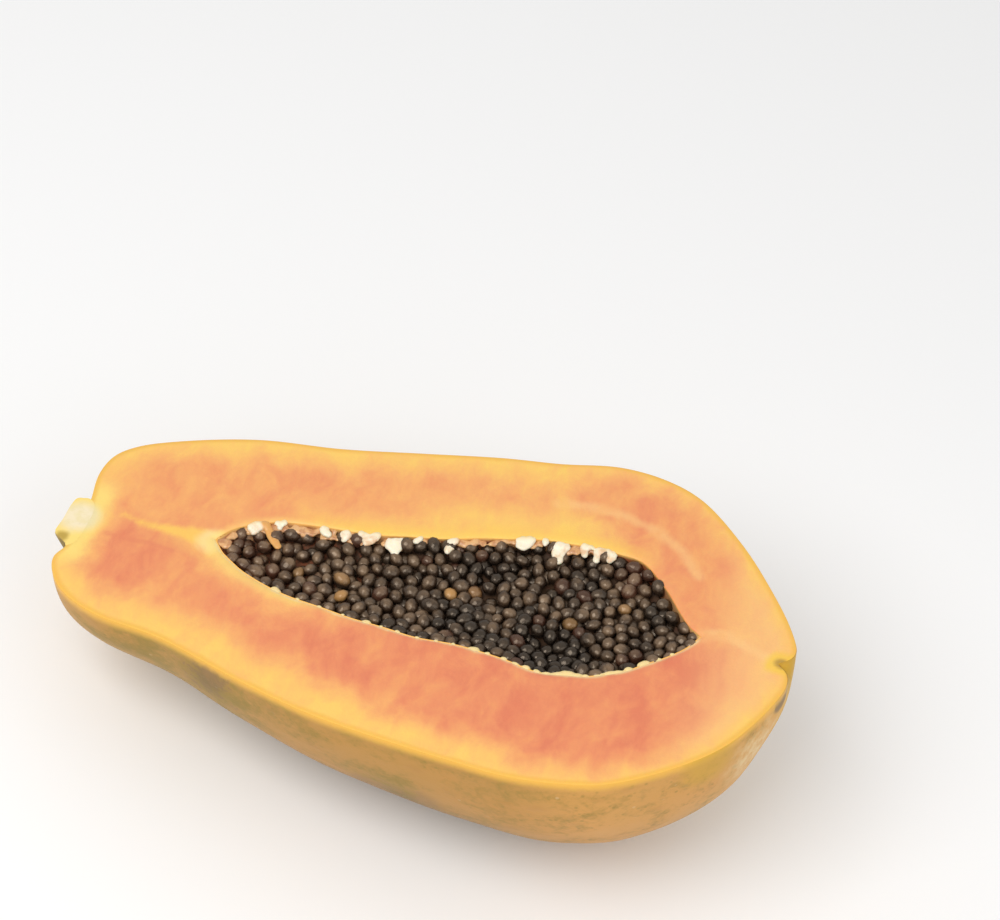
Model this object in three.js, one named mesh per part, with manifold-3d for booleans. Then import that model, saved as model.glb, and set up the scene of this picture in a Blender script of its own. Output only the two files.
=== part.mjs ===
// A ripe papaya cut lengthwise, lying on its rounded back with the cut face up: the flesh with its skin,
// the bed of seeds in the cavity, and the stub of the fruit stalk, which the knife halved too.
// Millimetres, +Z up. The fruit is drawn in its own frame, with X from the stalk end to the blossom end
// and the cut face in the plane Z = 0. It is then set down as it balances, with its slim end a little lower.

import * as THREE from "three";
import { mergeVertices } from "three/addons/utils/BufferGeometryUtils.js";
import Module from "manifold-3d";

const wasm = await Module();
wasm.setup();

// ---- driving dimensions ----

const fruitLength = 250; // from the stalk end's shoulders to the blossom end
const fruitWidth = 148; // across the cut face where it is widest
const fruitDepth = 77; // from the cut face down to the back
const restTilt = THREE.MathUtils.degToRad(7.5); // the cut face drops this much towards the stalk end
const restSpotDepth = 1.6; // how much of the back is flattened where the fruit lies
const lobeHeight = 1.1; // the five soft lobes that run along a papaya
const cavityLength = 170;
const cavityWidth = 60;
const cavityDepth = 33;
const bedDepth = 9; // the seed bed's lowest point, below the cut face
const bedOverhang = 1.15; // how far the bed's bowl reaches past the cavity wall
const seedLength = 7.2;
const seedThickness = 5.8;
const seedSpacing = 5.6; // least distance between the centres of two seeds
const pulpRadius = 1.9; // torn tufts of pale pulp round the cavity's mouth
const pulpSpacing = 7;
const stubRadius = 11.8;
const stubLength = 6; // how far the stalk's stub stands out
const stubRoot = 5; // how far it is sunk into the flesh
const gap = 0.4; // between two pieces that touch
const blockWidth = 4 * fruitLength; // the cutting blocks run past the fruit
const blockThickness = fruitLength;

// ---- outlines ----

// Each row is one rib across the fruit: how far along it lies, the far rim, the near rim and the back,
// as shares of the length, half the width, half the width and the depth.
const bodyRibs = [
  [0.006, 0, 0, 0],
  [0, 0.16, -0.16, 0.16],
  [-0.008, 0.34, -0.24, 0.28],
  [0, 0.473, -0.324, 0.365],
  [0.024, 0.561, -0.426, 0.445],
  [0.08, 0.655, -0.527, 0.52],
  [0.184, 0.764, -0.595, 0.635],
  [0.304, 0.811, -0.736, 0.755],
  [0.416, 0.885, -0.845, 0.85],
  [0.528, 0.959, -0.905, 0.935],
  [0.608, 0.993, -0.936, 0.975],
  [0.692, 1.046, -0.959, 1],
  [0.76, 1.018, -0.936, 0.985],
  [0.816, 0.932, -0.885, 0.94],
  [0.888, 0.696, -0.73, 0.79],
  [0.944, 0.446, -0.547, 0.6],
  [0.984, 0.23, -0.297, 0.34],
  [1, 0.095, -0.122, 0.135],
  [0.996, 0.04, -0.047, 0.052],
  [0.984, 0, 0, 0],
];

// The cavity's ribs, as shares of its own length, half its width, half its width and its depth.
const cavityStart = 48;
const cavityShift = 5.5; // its ends lie this far towards the far rim
const cavityRibs = [
  [0, 0, 0, 0],
  [0.035, 0.25, -0.22, 0.16],
  [0.11, 0.45, -0.48, 0.4],
  [0.28, 0.55, -0.73, 0.64],
  [0.435, 0.69, -0.83, 0.8],
  [0.59, 0.95, -0.87, 0.93],
  [0.73, 1.02, -0.98, 1],
  [0.835, 0.97, -0.87, 0.92],
  [0.91, 0.57, -0.58, 0.62],
  [0.97, 0.13, -0.28, 0.26],
  [1, 0, 0, 0],
];

// The stub's outline, as shares of its radius and of its length outwards, with the root inside the flesh.
const stubOutline = [
  [0, -1],
  [0.62, -1],
  [0.86, -0.45],
  [1, 0],
  [0.93, 0.45],
  [0.8, 0.85],
  [0.5, 1],
  [0, 0.9],
];

// ---- tools ----

// Repeatable random numbers from 0 to 1.
function randomFrom(seed) {
  let state = seed;
  return () => {
    state = (state + 0x6d2b79f5) | 0;
    let mixed = Math.imul(state ^ (state >>> 15), 1 | state);
    mixed = (mixed + Math.imul(mixed ^ (mixed >>> 7), 61 | mixed)) ^ mixed;
    return ((mixed ^ (mixed >>> 14)) >>> 0) / 4294967296;
  };
}

function solidFrom(geometry) {
  const bare = geometry.clone();
  bare.deleteAttribute("normal");
  bare.deleteAttribute("uv");
  const merged = mergeVertices(bare, 1e-4);
  return new wasm.Manifold(
    new wasm.Mesh({
      numProp: 3,
      vertProperties: merged.attributes.position.array,
      triVerts: new Uint32Array(merged.index.array),
    }),
  );
}

function geometryFrom(solid) {
  const mesh = solid.getMesh();
  const geometry = new THREE.BufferGeometry();
  geometry.setAttribute("position", new THREE.BufferAttribute(mesh.vertProperties, 3));
  geometry.setIndex(new THREE.BufferAttribute(mesh.triVerts, 1));
  return geometry;
}

// A wide block whose top is at the height given, tipped up about the Y axis.
function block(top, thickness, tilt = 0) {
  const geometry = new THREE.BoxGeometry(blockWidth, blockWidth, thickness);
  geometry.translate(0, 0, top - thickness / 2);
  geometry.rotateY(tilt);
  return solidFrom(geometry);
}

// The three long curves that a hull hangs from: both rims in the cut plane, and the keel under them.
function railsOf(ribs, length, width, depth, start = 0, shift = 0) {
  const rail = (place) => new THREE.CatmullRomCurve3(ribs.map(place), false, "centripetal");
  const along = (share) => start + share * length;
  const across = (share) => shift + (share * width) / 2;
  return {
    far: rail(([x, far]) => new THREE.Vector3(along(x), across(far), 0)),
    near: rail(([x, , near]) => new THREE.Vector3(along(x), across(near), 0)),
    keel: rail(([x, far, near, deep]) => new THREE.Vector3(along(x), across((far + near) / 2), -deep * depth)),
  };
}

// A point of the hull: share runs along it, and angle turns from the far rim under the keel to the near rim.
function hullPoint(rails, share, angle, lobes = 0) {
  const far = rails.far.getPoint(share);
  const near = rails.near.getPoint(share);
  const centre = new THREE.Vector3().addVectors(far, near).multiplyScalar(0.5);
  const side = new THREE.Vector3().subVectors(far, near).multiplyScalar(0.5);
  const down = rails.keel.getPoint(share).sub(centre);
  const lobe = (lobes / fruitDepth) * Math.sin(angle) ** 2 * Math.cos(5 * (angle - Math.PI / 2));
  return centre
    .addScaledVector(side, Math.cos(angle) * (1 + lobe))
    .addScaledVector(down, Math.sin(angle) * (1 + lobe));
}

// The closed hull, with the half above the cut plane a mirror of the half below.
function hull(rails, ribCount, sideCount, lobes = 0) {
  const points = [hullPoint(rails, 0, 0)];
  for (let rib = 1; rib < ribCount; rib++)
    for (let side = 0; side < sideCount; side++)
      points.push(hullPoint(rails, rib / ribCount, (side / sideCount) * 2 * Math.PI, lobes));
  points.push(hullPoint(rails, 1, 0));
  const last = points.length - 1;
  const at = (rib, side) => 1 + (rib - 1) * sideCount + (side % sideCount);
  const faces = [];
  for (let side = 0; side < sideCount; side++) {
    faces.push(0, at(1, side), at(1, side + 1));
    faces.push(last, at(ribCount - 1, side + 1), at(ribCount - 1, side));
    for (let rib = 1; rib < ribCount - 1; rib++) {
      faces.push(at(rib, side), at(rib + 1, side), at(rib + 1, side + 1));
      faces.push(at(rib, side), at(rib + 1, side + 1), at(rib, side + 1));
    }
  }
  return solidFrom(new THREE.BufferGeometry().setFromPoints(points).setIndex(faces));
}

// A lump with few faces, turned at random.
function lump(centre, radii, random) {
  const geometry = new THREE.IcosahedronGeometry(1, 0);
  geometry.scale(radii[0], radii[1], radii[2]);
  geometry.rotateX(random() * 2 * Math.PI);
  geometry.rotateY(random() * 2 * Math.PI);
  geometry.rotateZ(random() * 2 * Math.PI);
  geometry.translate(centre.x, centre.y, centre.z);
  return solidFrom(geometry);
}

// Cuts leave loose scraps, and only the largest body is kept.
function largestBody(solid) {
  return solid.decompose().reduce((largest, body) => (body.volume() > largest.volume() ? body : largest));
}

// ---- the pieces ----

const aboveTheCut = block(blockThickness, blockThickness);
const upwards = new THREE.Vector3(0, 0, 1).applyAxisAngle(new THREE.Vector3(0, 1, 0), restTilt);
const bodyRails = railsOf(bodyRibs, fruitLength, fruitWidth, fruitDepth);
const cavityRails = railsOf(cavityRibs, cavityLength, cavityWidth, cavityDepth, cavityStart, cavityShift);
// What fills the cavity keeps a gap to its wall.
const fillingRails = railsOf(
  cavityRibs,
  cavityLength - 6 * gap,
  cavityWidth - 2 * gap,
  cavityDepth - gap,
  cavityStart + 3 * gap,
  cavityShift,
);
// The seed bed's hollow is a wide shallow bowl.
const bowlRails = railsOf(
  cavityRibs.map(([x, far, near]) => [x, far, near, Math.sqrt((far - near) / 2)]),
  cavityLength * bedOverhang,
  cavityWidth * bedOverhang,
  bedDepth,
  cavityStart - (cavityLength * (bedOverhang - 1)) / 2,
  cavityShift,
);

// The tufts of pulp stand round the cavity's mouth, along both rims. Extra makes them larger.
function pulpTufts(extra) {
  const random = randomFrom(11);
  const tufts = [];
  const count = Math.round(cavityLength / pulpSpacing);
  for (const rimAngle of [0, Math.PI]) {
    for (let i = 0; i < count; i++) {
      const share = (i + 0.3 + 0.4 * random()) / count;
      const dip = 0.05 + 0.08 * random();
      const centre = hullPoint(cavityRails, 0.08 + 0.88 * share, rimAngle ? Math.PI - dip : dip);
      const radius = pulpRadius * (0.7 + 0.3 * random());
      tufts.push(lump(centre, [radius * 1.3 + extra, radius + extra, radius * 0.9 + extra], random));
    }
  }
  return tufts.reduce((all, tuft) => all.add(tuft));
}

function stalkStub(extra) {
  const profile = stubOutline.map(([r, x]) => {
    const along = x < 0 ? x * (stubRoot + extra) : x * (stubLength + extra);
    return new THREE.Vector2(r ? r * stubRadius + extra : 0, along);
  });
  const geometry = new THREE.LatheGeometry(profile, 20);
  geometry.rotateZ(Math.PI / 2);
  return solidFrom(geometry);
}

function fruitHalf() {
  const whole = hull(bodyRails, 57, 40, lobeHeight);
  const keelHeights = bodyRails.keel.getPoints(200).map((point) => point.dot(upwards));
  const restHeight = Math.min(...keelHeights) - lobeHeight + restSpotDepth;
  const underTheRestSpot = block(restHeight, blockThickness, restTilt);
  const half = whole
    .subtract(hull(cavityRails, 30, 24))
    .add(pulpTufts(0))
    .subtract(stalkStub(gap))
    .subtract(aboveTheCut)
    .subtract(underTheRestSpot);
  return largestBody(half);
}

// Seeds are drawn at random over the bowl, and one too close to those already there is left out.
function seedCentres() {
  const random = randomFrom(5);
  const centres = [];
  for (let tries = 0; tries < 9000; tries++) {
    const centre = hullPoint(bowlRails, 0.08 + 0.86 * random(), Math.PI * (0.13 + 0.74 * random()));
    if (centres.every((other) => other.distanceTo(centre) > seedSpacing)) centres.push(centre);
  }
  return centres;
}

function seedBed() {
  const random = randomFrom(23);
  const filling = hull(fillingRails, 30, 24);
  const radii = [seedLength / 2, seedThickness / 2, seedThickness / 2];
  const seeds = seedCentres().map((centre) => lump(centre, radii, random));
  const bed = filling
    .subtract(hull(bowlRails, 24, 24))
    .add(seeds.reduce((all, seed) => all.add(seed)))
    .intersect(filling)
    .subtract(pulpTufts(gap))
    .subtract(aboveTheCut);
  return largestBody(bed);
}

function stemStub() {
  return stalkStub(0).subtract(aboveTheCut);
}

// ---- the object ----

const fleshFinish = new THREE.MeshStandardMaterial({ color: 0xf2a05c, roughness: 0.45, metalness: 0 });
const seedFinish = new THREE.MeshStandardMaterial({ color: 0x2e2520, roughness: 0.3, metalness: 0 });
const stalkFinish = new THREE.MeshStandardMaterial({ color: 0xefe3b4, roughness: 0.7, metalness: 0 });

function piece(name, solid, finish) {
  const mesh = new THREE.Mesh(geometryFrom(solid), finish);
  mesh.name = name;
  return mesh;
}

const fruit = new THREE.Group();
fruit.add(piece("papaya_half", fruitHalf(), fleshFinish));
fruit.add(piece("seed_bed", seedBed(), seedFinish));
fruit.add(piece("stalk_stub", stemStub(), stalkFinish));

// The origin is under the middle of the fruit, on the floor.
fruit.rotation.y = -restTilt;
const extent = new THREE.Box3().setFromObject(fruit, true);
const middle = extent.getCenter(new THREE.Vector3());
fruit.position.set(-middle.x, -middle.y, -extent.min.z);

const papaya = new THREE.Group();
papaya.add(fruit);

export default papaya;
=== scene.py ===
# A ripe papaya cut lengthwise, lying on its back with the cut face up.
import math
import random

import bmesh
import bpy
import numpy as np
from mathutils import Matrix, Vector, noise


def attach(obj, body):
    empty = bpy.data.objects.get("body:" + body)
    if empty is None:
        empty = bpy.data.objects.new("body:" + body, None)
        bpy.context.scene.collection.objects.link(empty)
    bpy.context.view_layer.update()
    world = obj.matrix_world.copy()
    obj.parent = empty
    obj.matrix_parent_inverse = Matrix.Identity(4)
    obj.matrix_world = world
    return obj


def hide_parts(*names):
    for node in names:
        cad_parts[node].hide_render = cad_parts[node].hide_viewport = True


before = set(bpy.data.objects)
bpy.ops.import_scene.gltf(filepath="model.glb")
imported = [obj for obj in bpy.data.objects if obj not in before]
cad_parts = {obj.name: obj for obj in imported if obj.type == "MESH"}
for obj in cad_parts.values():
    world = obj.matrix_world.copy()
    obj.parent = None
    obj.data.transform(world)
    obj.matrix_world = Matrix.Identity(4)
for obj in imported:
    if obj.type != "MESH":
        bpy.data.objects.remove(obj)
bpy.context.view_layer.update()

# the fruit's own frame: X from the stalk to the blossom end, the cut face at Z = 0
mm = 0.001
restTilt = math.radians(7.5)  # the slim end lies a little lower
fruitPlace = Vector((-121.644, -3.219, 54.112)) * mm
sharpAngle = 38
fromFruit = Matrix.Translation(fruitPlace) @ Matrix.Rotation(-restTilt, 4, "Y")

body = {
    "length": 250,
    "width": 148,
    "depth": 77,
    "start": 0,
    "shift": 0,
    "lobe": 1.1,  # height of the five soft lobes
    "wobble": 0,
    # each rib: how far along, far rim, near rim and back, as shares of length, half width and depth
    "ribs": [
        (0.006, 0, 0, 0), (0, 0.16, -0.16, 0.16), (-0.008, 0.34, -0.24, 0.28), (0, 0.473, -0.324, 0.365),
        (0.024, 0.561, -0.426, 0.445), (0.08, 0.655, -0.527, 0.52), (0.184, 0.764, -0.595, 0.635),
        (0.304, 0.811, -0.736, 0.755), (0.416, 0.885, -0.845, 0.85), (0.528, 0.959, -0.905, 0.935),
        (0.608, 0.993, -0.936, 0.975), (0.692, 1.046, -0.959, 1), (0.76, 1.018, -0.936, 0.985),
        (0.816, 0.932, -0.885, 0.94), (0.888, 0.696, -0.73, 0.79), (0.944, 0.446, -0.547, 0.6),
        (0.984, 0.23, -0.297, 0.34), (1, 0.095, -0.122, 0.135), (0.996, 0.04, -0.047, 0.052),
        (0.984, 0, 0, 0),
    ],
    "rings": 220,
    "sides": 192,
    "faceRows": 38,
    "dents": 0.45,  # how uneven the skin is
    "dentSize": 24,
    "dentStart": 9,  # the dents grow to their full depth this far below the rim
    "rimRound": 0.5,
    "faceDepth": 0.45,  # what lies less deep belongs to the cut face
    "faceWaves": 0.16,  # the knife's slight waves
    "waveSizes": (21, 8),
    "waveMargin": 1.2,  # no waves this close to the rim and the mouth
    "mouthSag": 0.7,  # how much the flesh rounds down at the cavity's mouth
    "mouthWidth": 2.2,
    "blossomDent": (246.6, 0.2, 0.7, 3.4),  # place along and across, depth, radius
}

cavity = {
    "length": 170,
    "width": 60,
    "depth": 33,
    "start": 48,
    "shift": 5.5,
    "lobe": 0,
    "wobble": 0.55,  # how uneven the edge of its mouth is
    "ribs": [
        (0, 0, 0, 0), (0.035, 0.25, -0.22, 0.16), (0.11, 0.45, -0.48, 0.4), (0.28, 0.55, -0.73, 0.64),
        (0.435, 0.69, -0.83, 0.8), (0.59, 0.95, -0.87, 0.93), (0.73, 1.02, -0.98, 1),
        (0.835, 0.97, -0.87, 0.92), (0.91, 0.57, -0.58, 0.62), (0.97, 0.13, -0.28, 0.26), (1, 0, 0, 0),
    ],
    "rings": 220,
    "sides": 56,
}

cavityEnd = cavity["start"] + cavity["length"]


def alongRail(points, shares):  # a smooth centripetal curve through the points
    points = np.asarray(points, float)
    padded = np.vstack([2 * points[0] - points[1], points, 2 * points[-1] - points[-2]])
    place = np.clip(np.asarray(shares, float) * (len(points) - 1), 0, len(points) - 1 - 1e-9)
    first = place.astype(int)
    w = (place - first)[:, None]
    p0, p1, p2, p3 = (padded[first + k] for k in range(4))
    spans = ((p0, p1), (p1, p2), (p2, p3))
    d0, d1, d2 = (np.linalg.norm(b - a, axis=1, keepdims=True) ** 0.5 for a, b in spans)
    m1 = ((p1 - p0) / d0 - (p2 - p0) / (d0 + d1) + (p2 - p1) / d1) * d1
    m2 = ((p2 - p1) / d1 - (p3 - p1) / (d1 + d2) + (p3 - p2) / d2) * d1
    return p1 + m1 * w + (3 * (p2 - p1) - 2 * m1 - m2) * w**2 + (2 * (p1 - p2) + m1 + m2) * w**3


def rails(form, shares):  # the far edge, the near edge and the keel of a hull
    along = [form["start"] + rib[0] * form["length"] for rib in form["ribs"]]
    far = [form["shift"] + rib[1] * form["width"] / 2 for rib in form["ribs"]]
    near = [form["shift"] + rib[2] * form["width"] / 2 for rib in form["ribs"]]
    back = [-rib[3] * form["depth"] for rib in form["ribs"]]
    middle = [(f + n) / 2 for f, n in zip(far, near)]
    level = [0] * len(along)
    curves = ((along, far, level), (along, near, level), (along, middle, back))
    made = [alongRail(np.transpose(curve), shares) for curve in curves]
    place = np.asarray(shares, float) * math.pi
    for edge, phase in zip(made, (0.4, 2.9)):
        sway = 0.6 * np.sin(11 * place + phase) + 0.4 * np.sin(23 * place + 2 * phase)
        edge[:, 1] += form["wobble"] * sway * np.sin(place)
    return made


def hullPoints(form, shares, angles):  # angles turn from the far rim, under the back, to the near rim
    far, near, keel = rails(form, shares)
    centre = (far + near) / 2
    sine, cosine = np.sin(angles)[:, None], np.cos(angles)[:, None]
    lobe = 1 + form["lobe"] / form["depth"] * sine**2 * np.cos(5 * (angles[:, None] - math.pi / 2))
    return centre + (far - near) / 2 * cosine * lobe + (keel - centre) * sine * lobe


def ontoHull(form, ball, rings):  # where the points of a lying ball go on a hull
    ring = np.rint(np.arccos(np.clip(-ball[:, 0], -1, 1)) / math.pi * rings).astype(int)
    angles = np.arctan2(np.abs(ball[:, 2]), ball[:, 1])
    return hullPoints(form, evenShares(form, rings)[ring], angles)


def evenShares(form, count):  # shares that step evenly along the far rim
    fine = np.linspace(0, 1, 2001)
    far = rails(form, fine)[0]
    run = np.concatenate([[0], np.cumsum(np.linalg.norm(np.diff(far, axis=0), axis=1))])
    return np.interp(np.linspace(0, run[-1], count + 1), run, fine)


def rimOutline(form, count=600):  # the closed outline in the cut plane
    far, near, _ = rails(form, np.linspace(0, 1, count))
    return np.vstack([far, near[::-1]])[:, :2]


def outlineDistance(points, outline):  # from each point to the nearest stretch of a polyline
    outline = np.array(outline, float)
    start, end = outline[:-1], outline[1:]
    step = end - start
    lengthSquared = np.maximum((step**2).sum(1), 1e-12)
    nearest = np.full(len(points), np.inf)
    for a, d, ls in zip(start, step, lengthSquared):
        t = np.clip(((points - a) @ d) / ls, 0, 1)
        nearest = np.minimum(nearest, ((points - a - t[:, None] * d) ** 2).sum(1))
    return np.sqrt(nearest)


def clearSelection():
    if bpy.context.object and bpy.context.object.mode != "OBJECT":
        bpy.ops.object.mode_set(mode="OBJECT")
    bpy.ops.object.select_all(action="DESELECT")


def takeUp(piece):  # the only piece selected, and active
    clearSelection()
    piece.select_set(True)
    bpy.context.view_layer.objects.active = piece


def newest(name):
    piece = bpy.context.object
    piece.name = name
    piece.data.name = name
    return piece


def putIn(name, data):
    piece = bpy.data.objects.new(name, data)
    bpy.context.scene.collection.objects.link(piece)
    return piece


def lyingBall(name, sides, rings, radius=1):  # a sphere with its poles on X
    clearSelection()
    bpy.ops.mesh.primitive_uv_sphere_add(
        segments=sides, ring_count=rings, radius=radius, rotation=(0, math.pi / 2, 0)
    )
    bpy.ops.object.transform_apply(location=False, rotation=True, scale=False)
    return newest(name)


def keepLowerHalf(threshold, closed):  # of the active piece, cut at Z = 0
    bpy.ops.object.mode_set(mode="EDIT")
    bpy.ops.mesh.select_all(action="SELECT")
    cut = {"clear_outer": True, "use_fill": closed, "threshold": threshold}
    bpy.ops.mesh.bisect(plane_co=(0, 0, 0), plane_no=(0, 0, 1), **cut)
    if closed:
        bpy.ops.mesh.normals_make_consistent(inside=False)
    bpy.ops.object.mode_set(mode="OBJECT")


def keepEdges(piece):  # smooth, but for the sharp edges
    takeUp(piece)
    bpy.ops.object.shade_smooth_by_angle(angle=math.radians(sharpAngle))


def readPoints(piece):
    flat = np.empty(len(piece.data.vertices) * 3)
    piece.data.vertices.foreach_get("co", flat)
    return flat.reshape(-1, 3)


def writePoints(piece, points):
    piece.data.vertices.foreach_set("co", np.ascontiguousarray(points, float).ravel())
    piece.data.update()


def writeAttribute(piece, name, values):
    kind = "FLOAT" if values.ndim == 1 else "FLOAT_VECTOR"
    layer = piece.data.attributes.new(name, kind, "POINT")
    layer.data.foreach_set("value" if values.ndim == 1 else "vector", values.astype(np.float32).ravel())


def joinPieces(pieces, name):
    clearSelection()
    for piece in pieces:
        piece.select_set(True)
    bpy.context.view_layer.objects.active = pieces[0]
    bpy.ops.object.join()
    return newest(name)


def settle(piece):  # from the fruit's own frame to where the fruit lies
    piece.data.transform(fromFruit)
    piece.data.polygons.foreach_set("use_smooth", [True] * len(piece.data.polygons))
    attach(piece, "root")


class Signal:  # a shader socket that can be written in sums
    def __init__(self, finish, socket):
        self.finish, self.socket = finish, socket

    def calculate(self, operation, *others):
        inputs = dict(enumerate((self, *others)))
        return self.finish.node("ShaderNodeMath", {"operation": operation}, inputs)

    def __add__(self, other):
        return self.calculate("ADD", other)

    def __sub__(self, other):
        return self.calculate("SUBTRACT", other)

    def __rsub__(self, other):
        return self.finish.node("ShaderNodeMath", {"operation": "SUBTRACT"}, {0: other, 1: self})

    def __mul__(self, other):
        return self.calculate("MULTIPLY", other)

    def highest(self, other):
        return self.calculate("MAXIMUM", other)

    def between(self, low, high):  # 0 at low, 1 at high, and smooth; low may be the larger
        settings = {"interpolation_type": "SMOOTHSTEP"}
        inputs = {"Value": self, "From Min": low, "From Max": high}
        return self.finish.node("ShaderNodeMapRange", settings, inputs)

    def part(self, name):
        return Signal(self.finish, self.socket.node.outputs[name])


class Finish:  # a material whose colours are laid over a ground
    def __init__(self, name, ground=None):
        self.material = bpy.data.materials.new(name)
        self.material.use_nodes = True
        self.tree = self.material.node_tree
        self.tree.nodes.clear()
        self.colour = ground

    def node(self, kind, settings=None, inputs=None, output=0):
        made = self.tree.nodes.new(kind)
        for key, value in (settings or {}).items():
            if key == "stops":
                self.setStops(made.color_ramp, value)
            else:
                setattr(made, key, value)
        for key, value in (inputs or {}).items():
            if isinstance(value, Signal):
                self.tree.links.new(value.socket, made.inputs[key])
            else:
                made.inputs[key].default_value = value
        return Signal(self, made.outputs[output])

    def setStops(self, ramp, stops):
        while len(ramp.elements) < len(stops):
            ramp.elements.new(1)
        for element, (place, colour) in zip(ramp.elements, stops):
            element.position, element.color = place, colour

    def attribute(self, name, output="Fac"):
        return self.node("ShaderNodeAttribute", {"attribute_name": name}, output=output)

    def spot(self):  # the place in the fruit's own frame, in millimetres
        return self.attribute("fruitSpot", "Vector")

    def axes(self, spot):  # along, across and height
        parts = self.node("ShaderNodeSeparateXYZ", None, {0: spot})
        return parts, parts.part("Y"), parts.part("Z")

    def stretched(self, spot, factors):  # a pattern drawn out where its factor is below 1
        return self.node("ShaderNodeVectorMath", {"operation": "MULTIPLY"}, {0: spot, 1: factors})

    def gapTo(self, spot, place):  # distance from one place, in millimetres
        settings = {"operation": "DISTANCE"}
        return self.node("ShaderNodeVectorMath", settings, {0: spot, 1: place}, output="Value")

    def cloud(self, place, size, detail=3, roughness=0.55, distortion=0):  # soft noise from 0 to 1
        inputs = {"Vector": place, "Scale": 1 / size, "Detail": detail, "Roughness": roughness}
        return self.node("ShaderNodeTexNoise", None, {**inputs, "Distortion": distortion})

    def dots(self, place, size):  # distance to the nearest of many scattered points
        return self.node("ShaderNodeTexVoronoi", None, {"Vector": place, "Scale": 1 / size})

    def blend(self, mask, under, over):
        return self.node("ShaderNodeMix", {"data_type": "RGBA"}, {0: mask, 6: under, 7: over}, output=2)

    def coat(self, mask, over):  # over what has been laid on so far
        self.colour = self.blend(mask, self.colour, over)

    def surface(self, inputs, height=None, relief=0.3, lift=0.4):
        made = {"Base Color": self.colour, **inputs}
        if height is not None:
            bump = {"Height": height, "Strength": relief, "Distance": lift * mm}
            made["Normal"] = self.node("ShaderNodeBump", None, bump)
        shader = self.node("ShaderNodeBsdfPrincipled", None, made)
        end = self.tree.nodes.new("ShaderNodeOutputMaterial")
        self.tree.links.new(shader.socket, end.inputs["Surface"])
        return self.material


def softInside(weight, reach):  # light that soaks in, with its reach for red, green and blue
    return {"Subsurface Weight": weight, "Subsurface Radius": reach, "Subsurface Scale": 1}


def wetCoat(weight, roughness):
    return {"Coat Weight": weight, "Coat Roughness": roughness}


def paint(red, green, blue):  # a colour as it looks on screen, from 0 to 255
    def linear(level):
        share = level / 255
        return share / 12.92 if share <= 0.04045 else ((share + 0.055) / 1.055) ** 2.4

    return (linear(red), linear(green), linear(blue), 1)


flesh = {
    # from the palest to the reddest flesh
    "tints": [
        (0, paint(249, 203, 106)), (0.24, paint(247, 190, 107)), (0.46, paint(243, 174, 107)),
        (0.65, paint(238, 159, 103)), (0.82, paint(233, 145, 100)), (1, paint(225, 129, 94)),
    ],
    "nearRed": 0.8,
    "farRed": 0.5,
    "stalkRed": 0.62,
    "yellow": paint(250, 202, 96),
    "stalkYellow": paint(249, 218, 122),
    "stalkCream": paint(238, 221, 172),
    "stalkMiddle": (-0.4, 2.6, 0),
    "rim": paint(238, 182, 76),
    "cream": paint(250, 220, 160),
    "blossomPink": paint(247, 192, 132),
    "vein": paint(252, 208, 138),
    "scar": paint(172, 134, 66),
    "notchYellow": paint(244, 198, 76),
    "wander": 15,  # size of the slow wander of the bands
    "mottle": 10.5,
    "fibre": 3.4,
    "grain": 0.9,
    "veins": [
        [(217, 4.1), (221, 7.4), (227.3, 7.8), (235, 3.8), (241.5, 1.6), (246.3, -0.3)],
        [(157, 54), (167, 55.5), (180, 54), (192, 50), (203, 42.5), (211, 32)],
    ],
    "cleft": [(52, 4.6), (39, 5), (29.8, 5.3), (20.5, 5.6), (14, 8)],
    "fold": [(11, -2.2), (18, -3.4), (27, -2.8), (36, -4.2)],
    "tip": (47.4, 3.8, 0),
    "notch": (246.6, 0.2, 0),
}

skin = {
    "tan": paint(184, 136, 66),
    "ripe": paint(209, 154, 80),
    "gold": paint(236, 184, 50),
    "blush": paint(222, 146, 70),
    "olive": paint(140, 118, 46),
    "freckle": paint(180, 146, 44),
    # the dark brown-grey of the painted shade under the fruit and of the darker patches
    "shade": paint(114, 90, 60),
    "bruise": paint(136, 86, 50),
    "fleck": paint(226, 208, 170),
    "scar": paint(176, 156, 128),
    "wax": paint(232, 210, 160),
    "patch": 42,
    "blotch": 12,
    "speckle": 3,
    "pore": 0.9,
    "waxPlace": (240, -24, -15),
    # place, reach and strength of the darker patches; the lowest is painted shade near the floor
    "darkPlaces": [
        ((249.3, -12.5, -2.1), 4.3, 0.8), ((64, -50, -11), 13, 0.6), ((132, -58, -37), 14, 0.35),
    ],
    # and of the golden ones
    "goldPlaces": [((228, -40, -4), 15, 0.6), ((251, 0, -2), 10, 0.85)],
    "oliveGold": paint(204, 160, 46),
}

lining = {
    "membrane": paint(204, 152, 102),
    "red": paint(146, 70, 42),
    "lip": paint(250, 200, 110),
    "film": 3.5,
    "sore": 9,
}


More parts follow.
